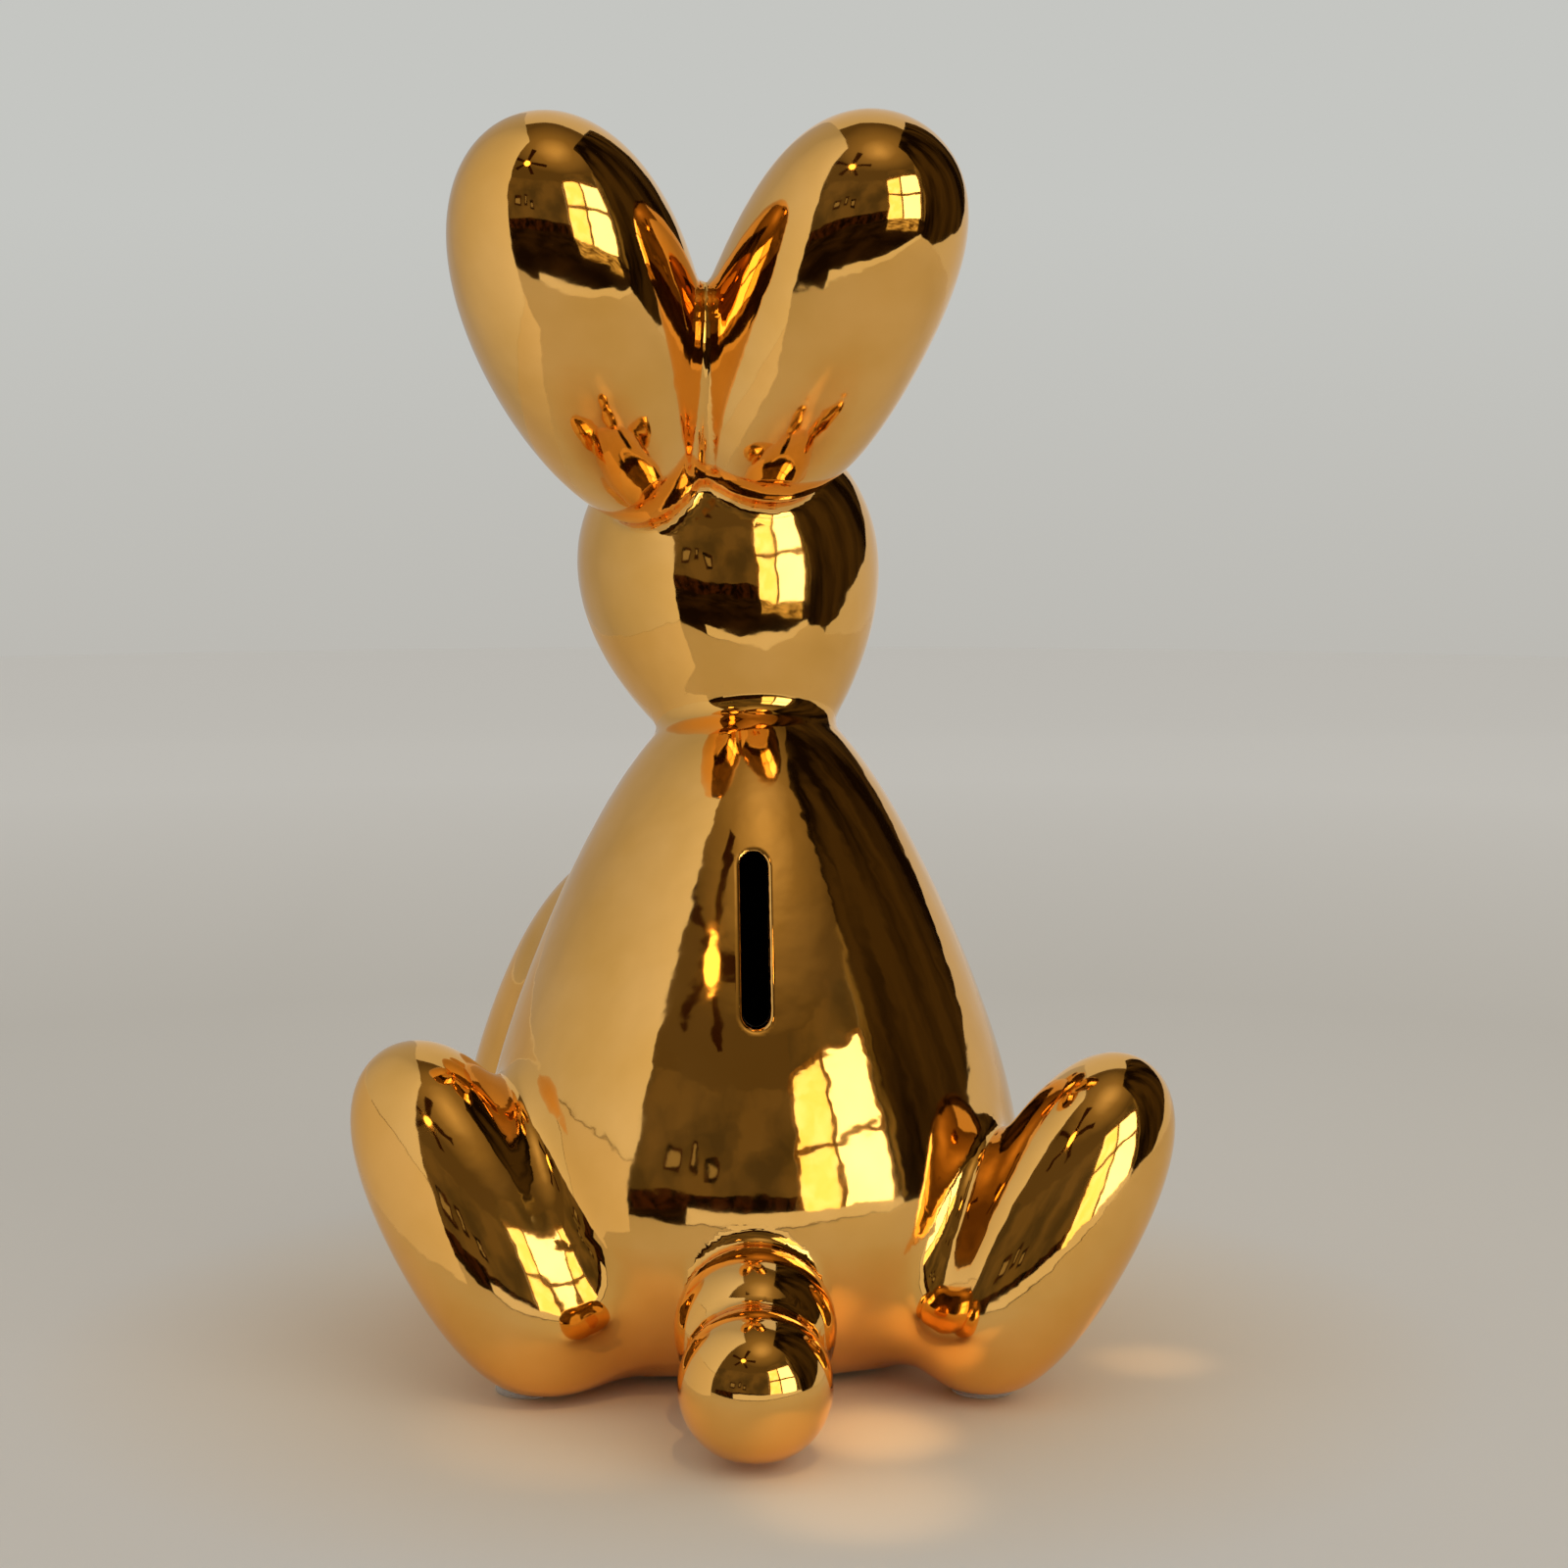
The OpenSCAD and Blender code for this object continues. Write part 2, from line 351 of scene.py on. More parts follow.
@dataclass(frozen=True)
class CeilingPaint:
    """Cream ceiling paint, with the window's light painted on: brightest over the window, dimmer further
    off.
    """

    name: str = "ceiling_paint"
    bright: str = "#C8B48C"
    middle: str = "#8C7A55"
    dim: str = "#5A4D34"
    brightest: Point = (-200, 620, 1500)    # place over the window where it is brightest

    def make(self) -> Material:
        """Return the ceiling's material, whose tone dims with the metres from its brightest place."""
        nodes = NodeMaterial(self.name)
        reach = add_node(nodes.tree, "ShaderNodeVectorMath", {1: [c * MM for c in self.brightest]},
                         {0: nodes.place}, operation="DISTANCE")
        tone = nodes.tones(reach.outputs["Value"], (0.08, self.bright), (0.45, self.middle),
                           (1.0, self.dim))
        return nodes.end(GLOW, {}, {"Color": tone})


# ---------------------------------------------------------------- meshes


def make_piece(
    name: str,
    points: np.ndarray | Sequence[Sequence[float]],
    faces: np.ndarray | Sequence[Sequence[int]],
    materials: Iterable[Material],
    normals: np.ndarray | None = None,
) -> Piece:
    """Make a smooth-shaded mesh object from points in millimetres.

    Args:
        name: The object's name.
        points: Its corners, in millimetres.
        faces: Its faces, as corner numbers.
        materials: Its materials, in slot order.
        normals: One shading normal per corner, where the mesh's own would be too coarse.

    Returns:
        The object, linked into the scene.
    """
    mesh = bpy.data.meshes.new(name)
    mesh.from_pydata((np.asarray(points, float) * MM).tolist(), [], [list(map(int, f)) for f in faces])
    mesh.shade_smooth()
    for material in materials:
        mesh.materials.append(material)
    if normals is not None:
        mesh.normals_split_custom_set_from_vertices(normals.tolist())
    piece = bpy.data.objects.new(name, mesh)
    bpy.context.scene.collection.objects.link(piece)
    return piece


def smooth_min(a: np.ndarray, b: np.ndarray, width: float | np.ndarray) -> np.ndarray:
    """Join two distances with a soft crease.

    Args:
        a: Distances to the first form.
        b: Distances to the second form.
        width: Width of the crease; its radius comes out about 0.85 of this.

    Returns:
        Distances to the joined form.
    """
    overlap = np.maximum(width - np.abs(a - b), 0) / width
    return np.minimum(a, b) - overlap * overlap * width / 4


def smooth_max(a: np.ndarray, b: np.ndarray, width: float | np.ndarray) -> np.ndarray:
    """Cut one distance by another with a rounded edge; the arguments are those of smooth_min."""
    return -smooth_min(-a, -b, width)


@dataclass(frozen=True)
class Lobe:
    """One balloon lobe: a form of revolution about the line from its narrow to its fat end.

    Attributes:
        narrow: Narrow end of the axis.
        fat: Fat end of the axis.
        radius: Largest radius.
        taper: How much fuller the fat end is.
        fullness: How much fuller both ends are.
    """

    narrow: Point
    fat: Point
    radius: float
    taper: float = 0.0
    fullness: float = 0.0

    def box(self, margin: float) -> tuple[np.ndarray, np.ndarray]:
        """Return the corners of a box round the lobe, with a margin."""
        ends = np.array([self.narrow, self.fat])
        t = np.linspace(-1, 1, 81)
        axis = ends[1] - ends[0]
        direction = axis / np.linalg.norm(axis)
        centres = ends.mean(0) + np.outer(t / 2, axis)
        reach = np.outer(self.radii(t), np.sqrt(np.maximum(0, 1 - direction ** 2)))
        return (centres - reach).min(0) - margin, (centres + reach).max(0) + margin

    def swell(self, t: np.ndarray) -> np.ndarray:
        """Return how full the lobe is at t, from -1 at its narrow end to 1 at its fat end."""
        return 1 + self.taper * t + self.fullness * t * t

    def peak(self) -> float:
        """Return the profile's largest height before it is scaled to the radius."""
        t = np.linspace(-1, 1, 401)
        return float(np.max(np.sqrt(1 - t * t) * self.swell(t)))

    def radii(self, t: np.ndarray) -> np.ndarray:
        """Return the lobe's radius at each t."""
        return self.radius / self.peak() * np.sqrt(np.maximum(0, 1 - t * t)) * self.swell(t)

    def distance(self, points: np.ndarray, inset: float = 0.0) -> np.ndarray:
        """Measure how far points lie from the lobe's skin.

        Args:
            points: The points, one per row.
            inset: How much smaller than the lobe the measured form is on every side.

        Returns:
            Distances, negative inside.
        """
        narrow, fat = np.array(self.narrow), np.array(self.fat)
        axis = (fat - narrow) / np.linalg.norm(fat - narrow)
        length = np.linalg.norm(fat - narrow) - 2 * inset
        offset = points - (narrow + axis * inset)
        along = offset @ axis
        out_squared = np.maximum((offset * offset).sum(-1) - along * along, 1e-12)
        t = 2 * along / length - 1
        reach = 1.1            # past here the profile's formula has no meaning, so it is held
        held = np.clip(t, -reach, reach)
        swell = self.swell(held)
        swell_slope = np.where(np.abs(t) < reach, self.taper + 2 * self.fullness * held, 0)
        scale = (self.peak() / (self.radius - inset)) ** 2
        level = np.sqrt(scale * out_squared / swell ** 2 + t * t)
        slope_along = 2 / length * (t - scale * out_squared * swell_slope / swell ** 3)
        slope_out = scale * np.sqrt(out_squared) / swell ** 2
        return level * (level - 1) / np.maximum(np.hypot(slope_along, slope_out), 1e-6)


class SkinMesher:
    """Turns a distance function into a quad mesh whose corners lie on its zero surface."""

    def __init__(self, distance: Distance, axes: Sequence[np.ndarray]) -> None:
        """Keep the function and the grid.

        Args:
            distance: Gives the distance of each row of points.
            axes: The grid's X, Y and Z coordinates, which may be closer together in places.
        """
        self.distance = distance
        self.axes = [np.asarray(axis, float) for axis in axes]

    def net(self) -> tuple[np.ndarray, np.ndarray]:
        """Return the corners and quads of the surface net: one corner in each crossed cell."""
        grid = np.stack(np.meshgrid(*self.axes, indexing="ij"), -1)
        values = np.stack([self.distance(plane.reshape(-1, 3)).reshape(plane.shape[:-1])
                           for plane in grid])
        inside = values < 0
        shape = tuple(n - 1 for n in values.shape)
        corners = [(i, j, k) for i in (0, 1) for j in (0, 1) for k in (0, 1)]
        count = sum(inside[i:i + shape[0], j:j + shape[1], k:k + shape[2]].astype(int)
                    for i, j, k in corners)
        cells = np.argwhere((count > 0) & (count < len(corners)))
        number = np.full(shape, -1)
        number[tuple(cells.T)] = np.arange(len(cells))
        total, hits = np.zeros((len(cells), 3)), np.zeros(len(cells))
        for axis in range(3):
            for start in corners:
                if start[axis]:
                    continue
                a = cells + start
                b = a.copy()
                b[:, axis] += 1
                va, vb = values[tuple(a.T)], values[tuple(b.T)]
                crossed = (va < 0) != (vb < 0)
                share = np.where(crossed, va / np.where(crossed, va - vb, 1), 0)[:, None]
                meeting = grid[tuple(a.T)] * (1 - share) + grid[tuple(b.T)] * share
                total += np.where(crossed[:, None], meeting, 0)
                hits += crossed
        return total / hits[:, None], self.quads(inside, number)

    @staticmethod
    def quads(inside: np.ndarray, number: np.ndarray) -> np.ndarray:
        """Join the four cells round each crossed grid edge.

        Args:
            inside: Which grid points are inside.
            number: Each cell's corner number, or -1.

        Returns:
            Quads that face outward.
        """
        made = []
        for axis in range(3):
            side, up = (axis + 1) % 3, (axis + 2) % 3
            low = [slice(None)] * 3
            high = [slice(None)] * 3
            low[axis], high[axis] = slice(0, -1), slice(1, None)
            edges = np.argwhere(inside[tuple(low)] != inside[tuple(high)])
            keep = (edges[:, side] > 0) & (edges[:, up] > 0)
            keep &= (edges[:, side] < inside.shape[side] - 1) & (edges[:, up] < inside.shape[up] - 1)
            edges = edges[keep]
            ring = []
            for back_side, back_up in ((1, 1), (0, 1), (0, 0), (1, 0)):
                cell = edges.copy()
                cell[:, side] -= back_side
                cell[:, up] -= back_up
                ring.append(number[tuple(cell.T)])
            quads = np.stack(ring, 1)
            outward = inside[tuple(edges.T)]
            made.append(np.where(outward[:, None], quads, quads[:, ::-1]))
        return np.concatenate(made)

    def slope(self, points: np.ndarray, step: float = 0.02) -> np.ndarray:
        """Return the distance function's gradient at each point."""
        shifts = np.eye(3) * step
        rises = [self.distance(points + shift) - self.distance(points - shift) for shift in shifts]
        return np.stack(rises, -1) / (2 * step)

    def settle(self, points: np.ndarray, rounds: int) -> np.ndarray:
        """Move points onto the zero surface, a capped step at a time."""
        cap = 0.6
        for _ in range(rounds):
            slope = self.slope(points)
            step = self.distance(points) / np.maximum((slope * slope).sum(-1), 0.05)
            points = points - slope * np.clip(step, -cap, cap)[:, None]
        return points

    def mesh(self, relaxes: int = 3) -> tuple[np.ndarray, np.ndarray, np.ndarray]:
        """Return the corners, quads and outward unit normals, evenly spread over the surface."""
        points, quads = self.net()
        edges = np.concatenate([quads[:, [i, (i + 1) % 4]] for i in range(4)])
        degree = np.maximum(np.bincount(edges.ravel(), minlength=len(points)), 1)
        for _ in range(relaxes):
            total = np.zeros_like(points)
            np.add.at(total, edges[:, 0], points[edges[:, 1]])
            np.add.at(total, edges[:, 1], points[edges[:, 0]])
            points = self.settle(0.5 * points + 0.5 * total / degree[:, None], 2)
        points = self.settle(points, 3)
        normals = self.slope(points)
        return points, quads, normals / np.maximum(np.linalg.norm(normals, axis=1), 1e-9)[:, None]


def graded(low: float, high: float, step: float, fine: Sequence[tuple[float, float, float]] = ()
           ) -> np.ndarray:
    """Space grid coordinates evenly, closer together in some spans.

    Args:
        low: First coordinate.
        high: Last coordinate.
        step: Usual spacing.
        fine: Start, end and spacing of each closer span.

    Returns:
        The coordinates in order.
    """
    places = [low]
    while places[-1] < high:
        here = places[-1]
        inner = [s for a, b, s in fine if a <= here < b]
        places.append(here + (inner[0] if inner else step))
    return np.array(places)


def lathe(profile: Sequence[tuple[float, float]], turns: int, pleat: float = 0.0, pleats: int = 0
          ) -> tuple[np.ndarray, list[list[int]]]:
    """Turn a profile about Z.

    Args:
        profile: Radius and height of each point, starting and ending on the axis.
        turns: Number of steps round.
        pleat: Share by which folds swell and pinch the radius.
        pleats: Number of folds.

    Returns:
        Corners and faces of the closed form.
    """
    angles = np.linspace(0, 2 * math.pi, turns, endpoint=False)
    inner = profile[1:-1]
    folds = 1 + pleat * np.cos(pleats * angles)
    points = [(0.0, 0.0, profile[0][1])]
    for radius, height in inner:
        points += [(radius * f * math.cos(a), radius * f * math.sin(a), height)
                   for a, f in zip(angles, folds)]
    points.append((0.0, 0.0, profile[-1][1]))
    last = len(points) - 1
    faces = []
    for i in range(turns):
        j = (i + 1) % turns
        faces.append([0, 1 + j, 1 + i])
        for row in range(len(inner) - 1):
            a, b = 1 + row * turns, 1 + (row + 1) * turns
            faces.append([a + i, a + j, b + j, b + i])
        end = 1 + (len(inner) - 1) * turns
        faces.append([end + i, end + j, last])
    return np.array(points), faces


def arc(centre: tuple[float, float], radius: float, start: float, end: float, steps: int = 6
        ) -> list[tuple[float, float]]:
    """Return points along an arc of a profile, with its angles in degrees."""
    angles = np.radians(np.linspace(start, end, steps + 1))
    return [(centre[0] + radius * math.cos(a), centre[1] + radius * math.sin(a)) for a in angles]


# ---------------------------------------------------------------- the ceramic casting


class Part(Enum):
    """The casting's lobes, named as their CAD nodes."""

    BODY = "body_shell"
    HEAD = "head_shell"
    MUZZLE = "muzzle"
    EAR_LEFT = "ear_left"
    EAR_RIGHT = "ear_right"
    FORELEG_LEFT = "foreleg_left"
    FORELEG_RIGHT = "foreleg_right"
    HIND_LEG_LEFT = "hind_leg_left"
    HIND_LEG_RIGHT = "hind_leg_right"
    TAIL_ROOT = "tail_root_lobe"
    TAIL_BALL = "tail_ball"


def round_lobe(centre: Point, radius: float) -> Lobe:
    """Return a ball-shaped lobe, its axis along Y."""
    x, y, z = centre
    return Lobe((x, y - radius, z), (x, y + radius, z), radius)


@dataclass
class CeramicCasting:
    """The slip-cast rabbit: eleven lobes that run into each other, and the tied nose knot.

    The lobes' axis ends and radii are the CAD model's. A crease is the width of the soft valley
    that glaze leaves where a lobe meets the ones before it in the list.
    """

    wall: float = 4.0
    foot_z: float = 1.5
    floor_t: float = 4.5
    hole_y: float = 3.0
    hole_r: float = 14.0
    recess_r: float = 20.5
    recess_depth: float = 3.0
    slot_z: float = 91.2
    slot_length: float = 31.8
    slot_width: float = 5.3
    lip: float = 1.3           # rounding of the slot's edge
    plating_depth: float = 1.6    # how far the plating runs into the slot
    base_edge: float = 0.8     # rounding of the base hole's edges
    edge: float = 2.2          # rounding of the foot's edge
    grid: float = 1.7          # spacing of the mesh
    pooled: float = 14.0       # how much wider the creases are at the foot, where the glaze pooled
    pool_top: float = 34.0     # height at which the creases are no wider any more
    lobes: dict[Part, Lobe] = field(default_factory=lambda: {
        Part.BODY: Lobe((0, -19, 137.5), (0, 3.5, -8), 56.4, 0.45, 0.17),
        Part.FORELEG_LEFT: Lobe((24.6, -34, 99.2), (54, -50, 1.5), 20, 0, 0.1),
        Part.FORELEG_RIGHT: Lobe((-19.6, -34, 99.2), (-46.5, -50, 1.5), 20, 0, 0.1),
        Part.HIND_LEG_LEFT: Lobe((36, 41, 3.2), (73.9, 14.1, 66.4), 18.6, 0, 0.18),
        Part.HIND_LEG_RIGHT: Lobe((-39.7, 41.5, 2.7), (-77.7, 27, 65.8), 17.2, 0, 0.18),
        Part.TAIL_ROOT: round_lobe((0.8, 60, 20.9), 15.6),
        Part.TAIL_BALL: round_lobe((1.3, 78.5, 15.3), 14.6),
        Part.HEAD: Lobe((-3.4, -17, 117), (8.8, -42.4, 191.6), 32.1, 0.25, -0.08),
        Part.MUZZLE: Lobe((3.2, -44, 160), (2.6, -86, 147.6), 21.6, 0.12),
        Part.EAR_LEFT: Lobe((18.8, -12, 172.9), (45.2, 34, 249.2), 23.4, 0.16, 0.04),
        Part.EAR_RIGHT: Lobe((2.4, -12, 179.3), (-29.7, 32, 248.9), 22.6, 0.03, 0.26),
    })
    creases: dict[Part, float] = field(default_factory=lambda: {
        Part.BODY: 4.0, Part.FORELEG_LEFT: 6.0, Part.FORELEG_RIGHT: 6.0, Part.HIND_LEG_LEFT: 8.0,
        Part.HIND_LEG_RIGHT: 8.0, Part.TAIL_ROOT: 3.5, Part.TAIL_BALL: 2.5, Part.HEAD: 3.6,
        Part.MUZZLE: 4.0, Part.EAR_LEFT: 4.0, Part.EAR_RIGHT: 4.0,
    })

    def near(self, part: Part) -> list[Part]:
        """Return the lobes whose boxes touch a lobe's box, in the order in which they join."""
        low, high = self.lobes[part].box(max(self.creases.values()))
        found = []
        for other in self.lobes:
            other_low, other_high = self.lobes[other].box(max(self.creases.values()))
            if np.all(other_low < high) and np.all(other_high > low):
                found.append(other)
        return found

    def joined(self, points: np.ndarray, parts: Sequence[Part]) -> np.ndarray:
        """Measure distances to the lobes run together, cut flat at the foot.

        Args:
            points: The points, one per row.
            parts: The lobes to join, in order.

        Returns:
            Distances, negative inside.
        """
        total = self.lobes[parts[0]].distance(points)
        pool = self.pooled * np.clip(1 - points[:, 2] / self.pool_top, 0, 1)
        for part in parts[1:]:
            width = self.creases[part] + (pool if part in (Part.HIND_LEG_LEFT, Part.HIND_LEG_RIGHT) else 0)
            total = smooth_min(total, self.lobes[part].distance(points), width)
        return smooth_max(total, self.foot_z - points[:, 2], self.edge)

    def slot(self, points: np.ndarray) -> np.ndarray:
        """Measure distances to the round-ended slot, which runs straight back along Y."""
        reach = (self.slot_length - self.slot_width) / 2
        across = np.hypot(points[:, 0], np.maximum(np.abs(points[:, 2] - self.slot_z) - reach, 0))
        return np.maximum(across - self.slot_width / 2, -points[:, 1])

    def hollow(self, points: np.ndarray) -> np.ndarray:
        """Measure distances to the coin cavity together with the base hole and its recess."""
        seat = self.foot_z + self.recess_depth
        out = np.hypot(points[:, 0], points[:, 1] - self.hole_y)
        rim = np.maximum(out - self.recess_r - self.wall, points[:, 2] - seat - self.wall)
        cavity = self.lobes[Part.BODY].distance(points, self.wall)
        cavity = np.maximum(cavity, self.foot_z + self.floor_t - points[:, 2])
        cavity = smooth_max(cavity, -rim, 2.0)
        hole = np.maximum(out - self.hole_r, points[:, 2] - seat - 2 * self.wall)
        recess = np.maximum(out - self.recess_r, points[:, 2] - seat)
        return np.minimum(np.minimum(cavity, hole), recess)

    def form(self, part: Part) -> Distance:
        """Return the distance function of one lobe's closed form.

        A lobe takes the joined skin where it is the nearest lobe and its own skin beneath the
        others, and it runs a little past the middle of each crease so that no gap can show.

        Args:
            part: The lobe.

        Returns:
            The function.
        """
        near = self.near(part)
        overlap = 0.5
        swell = (max(self.creases[p] for p in near) + self.pooled) / 4 + overlap

        def distance(points: np.ndarray) -> np.ndarray:
            total = np.maximum(self.joined(points, near), self.lobes[part].distance(points) - swell)
            if part is Part.BODY:
                total = smooth_max(total, -self.slot(points), self.lip)
                total = smooth_max(total, -self.hollow(points), self.base_edge)
            return total

        return distance

    def axes(self, part: Part) -> list[np.ndarray]:
        """Return the grid for one lobe, closer together round the coin slot and the foot."""
        low, high = self.lobes[part].box(self.creases[part] + self.pooled / 4 + 2)
        low[2] = max(low[2], self.foot_z - 2)
        fine: list[list[tuple[float, float, float]]] = [[], [], []]
        if part is Part.BODY:
            half = self.slot_length / 2 + 3
            fine[0] = [(-self.slot_width, self.slot_width, 0.5)]
            fine[2] = [(low[2], self.foot_z + self.recess_depth + 2, 0.8),
                       (self.slot_z - half, self.slot_z - half + 6, 0.6),
                       (self.slot_z + half - 6, self.slot_z + half, 0.6)]
        return [graded(a, b, self.grid, spans) for a, b, spans in zip(low, high, fine)]

    def build(self) -> list[Piece]:
        """Mesh and dress every lobe and the nose knot.

        Returns:
            The pieces.
        """
        gold, clay = LustreGold().make(), BisqueClay().make()
        # Painted shade: the cavity's clay takes near-black tones that stand in for the dark inside, which
        # light hardly reaches.
        inside = BisqueClay("painted_shade_clay_inside", "#2A241D", "#1C1813").make()
        pieces = []
        for part in self.lobes:
            form = self.form(part)
            points, quads, normals = SkinMesher(form, self.axes(part)).mesh()
            piece = make_piece(f"{part.value}_skin", points, quads, [gold, clay, inside], normals)
            self.leave_bare(piece, part)
            pieces.append(self.settle_piece(piece, part.value))
        pieces.append(self.settle_piece(NoseKnot(self.lobes[Part.MUZZLE]).build(gold), "nose_knot"))
        return pieces

    def leave_bare(self, piece: Piece, part: Part) -> None:
        """Give the bare clay to the flat foot and to whatever the plating didn't reach; deep in the slot
        and the cavity the clay is painted near black, as painted shade.

        Args:
            piece: The lobe's object.
            part: The lobe.
        """
        polygons = piece.data.polygons
        centres = np.zeros(len(polygons) * 3)
        facing = np.zeros(len(polygons) * 3)
        polygons.foreach_get("center", centres)
        polygons.foreach_get("normal", facing)
        centres, facing = centres.reshape(-1, 3) / MM, facing.reshape(-1, 3)
        plated, clay, inside = range(3)
        foot = (centres[:, 2] < self.foot_z + 0.2) & (facing[:, 2] < -0.98)
        slots = np.where(foot, clay, plated).astype(np.int32)
        if part is Part.BODY:
            deep = self.joined(centres, self.near(part)) < -self.plating_depth
            in_recess = centres[deep, 2] < self.foot_z + self.recess_depth + 0.5
            # Deep in the slot and the cavity, the near-black clay is painted shade.
            slots[deep] = np.where(in_recess, clay, inside)
        polygons.foreach_set("material_index", slots)

    @staticmethod
    def settle_piece(piece: Piece, node: str) -> Piece:
        """Ride the bank's body and stand for the CAD node, which it hides."""
        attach(piece, BANK_BODY)
        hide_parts(node)
        LOG.info("%s: %d faces", piece.name, len(piece.data.polygons))
        return piece


@dataclass
class NoseKnot:
    """The tied end of the balloon, modelled with the folds that a tied neck has."""

    muzzle: Lobe
    foot_r: float = 5.0
    neck_r: float = 3.0
    neck_length: float = 4.5
    rim_r: float = 1.4
    knot_r: float = 5.2
    pleats: int = 9

    def profile(self) -> list[tuple[float, float]]:
        """Return the knot's outline from inside the muzzle to the dimple in its rim."""
        rim = self.knot_r - self.rim_r
        foot = arc((self.foot_r + 0.4, 1.9), 2.1, 235, 180, 5)
        neck = [(self.neck_r + 0.15, 2.6), (self.neck_r, 3.3)]
        roll = arc((rim, self.neck_length + self.rim_r), self.rim_r, -70, 130, 12)
        dimple = [(rim * share, self.neck_length + self.rim_r * lift)
                  for share, lift in ((0.55, 1.2), (0.2, 0.7), (0, 0.6))]
        seat = -1.5            # how deep the knot's foot sits in the muzzle
        return [(0, seat), (self.foot_r - 0.6, seat), (self.foot_r - 0.4, -0.6),
                *foot, *neck, *roll, *dimple]

    def build(self, gold: Material) -> Piece:
        """Return the knot, seated on the muzzle's tip.

        Args:
            gold: The plating's material.
        """
        points, faces = lathe(self.profile(), 108, 0.035, self.pleats)
        narrow, fat = Vector(self.muzzle.narrow), Vector(self.muzzle.fat)
        axis = (fat - narrow).normalized()
        turn = Vector((0, 0, 1)).rotation_difference(axis).to_matrix()
        placed = points @ np.array(turn).T + np.array(fat - axis)
        return make_piece("nose_knot_skin", placed, faces, [gold])


# ---------------------------------------------------------------- stopper and pads


@dataclass
class Stopper:
    """The soft plug in the base: a flange, a grooved plug with a hollow top and a pull tab."""

    hole_y: float = 3.0
    seat_z: float = 4.5
    plug_r: float = 13.9
    flange_r: float = 19.5
    flange_t: float = 1.8
    plug_length: float = 9.0
    groove: float = 0.8
    tab_size: Point = (16.0, 3.0, 1.0)

    def profile(self) -> list[tuple[float, float]]:
        """Return the plug's outline from the middle of its underside to its hollow top."""
        low = self.seat_z - self.flange_t
        top = self.seat_z + self.plug_length
        r = 0.5
        points = [(0, low), (self.flange_r - 4, low), (self.flange_r - 3.2, low + 0.25),
                  (self.flange_r - 2.4, low)]
        points += arc((self.flange_r - r, low + r), r, -90, 0, 4)
        points += arc((self.flange_r - r, self.seat_z - r), r, 0, 90, 4)
        points += [(self.plug_r + 0.02, self.seat_z), (self.plug_r, self.seat_z + 0.3)]
        for z in (1.8, 3.4):
            base = self.seat_z + z
            inner = self.plug_r - self.groove
            points += [(self.plug_r, base), (inner + 0.15, base + 0.1), (inner, base + self.groove / 2),
                       (inner + 0.15, base + self.groove - 0.1), (self.plug_r, base + self.groove)]
        points += [(self.plug_r, top - 1.5), (self.plug_r - 1.1, top - 0.2), (self.plug_r - 1.5, top),
                   (self.plug_r - 3.6, top), (self.plug_r - 4, top - 0.4),
                   (self.plug_r - 4, self.seat_z + 1.4), (self.plug_r - 4.4, self.seat_z + 1),
                   (0, self.seat_z + 1)]
        return points

    def tab(self) -> tuple[np.ndarray, list[list[int]]]:
        """Return the pull tab: a bar with rounded ends and a soft lower edge."""
        length, width, height = self.tab_size
        low = self.seat_z - self.flange_t - height
        reach, r = (length - width) / 2, width / 2
        steps = 10
        bend = np.linspace(-math.pi / 2, math.pi / 2, steps)
        ring = [(reach + r * math.cos(a), r * math.sin(a)) for a in bend]
        ring += [(-x, -y) for x, y in ring]
        levels = [(low, 0.72), (low + 0.12, 0.88), (low + 0.35, 1.0), (low + height + 0.3, 1.0)]
        points = [(x * (1 if s > 0.99 else (length / 2 - r * (1 - s)) / (length / 2)), y * s, z)
                  for z, s in levels for x, y in ring]
        n = len(ring)
        faces = [list(range(n))[::-1], [3 * n + i for i in range(n)]]
        for row in range(len(levels) - 1):
            faces += [[row * n + i, row * n + (i + 1) % n, (row + 1) * n + (i + 1) % n, (row + 1) * n + i]
                      for i in range(n)]
        return np.array(points), faces

    def build(self) -> Piece:
        """Return the stopper, riding on its own body."""
        points, faces = lathe(self.profile(), 96)
        tab_points, tab_faces = self.tab()
        faces = faces + [[i + len(points) for i in face] for face in tab_faces]
        points = np.concatenate([points, tab_points]) + (0, self.hole_y, 0)
        piece = make_piece("stopper_plug", points, faces, [MouldedRubber().make()])
        piece.data.set_sharp_from_angle(angle=math.radians(40))
        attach(piece, STOPPER_BODY)
        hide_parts("stopper")
        LOG.info("%s: %d faces", piece.name, len(piece.data.polygons))
        return piece


@dataclass
class ClearPads:
    """Four stick-on bumpers under the legs: flat discs with a rolled rim."""

    radius: float = 6.5
    height: float = 1.5
    nodes: tuple[str, ...] = ("pad_rear_left", "pad_rear_right", "pad_front_left", "pad_front_right")

    def profile(self) -> list[tuple[float, float]]:
        """Return a pad's outline, from the table up to the adhesive film."""
        rim = 0.6
        low = arc((self.radius - rim, rim), rim, -90, 0, 6)
        top = [(self.radius - 0.08, self.height - 0.15), (self.radius - 0.3, self.height), (0, self.height)]
        return [(0, 0.0), (self.radius * 0.5, 0.0), *low, *top]

    def build(self) -> list[Piece]:
        """Return the pads, each under the middle of its CAD node."""
        clear = CastPolyurethane().make()
        points, faces = lathe(self.profile(), 64)
        pieces = []
        for node in self.nodes:
            low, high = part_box(node)
            centre = (low + high) / 2 / MM
            piece = make_piece(f"{node}_bumper", points + (centre.x, centre.y, 0), faces, [clear])
            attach(piece, BANK_BODY)
            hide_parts(node)
            LOG.info("%s: %d faces", piece.name, len(piece.data.polygons))
            pieces.append(piece)
        return pieces


# ---------------------------------------------------------------- studio


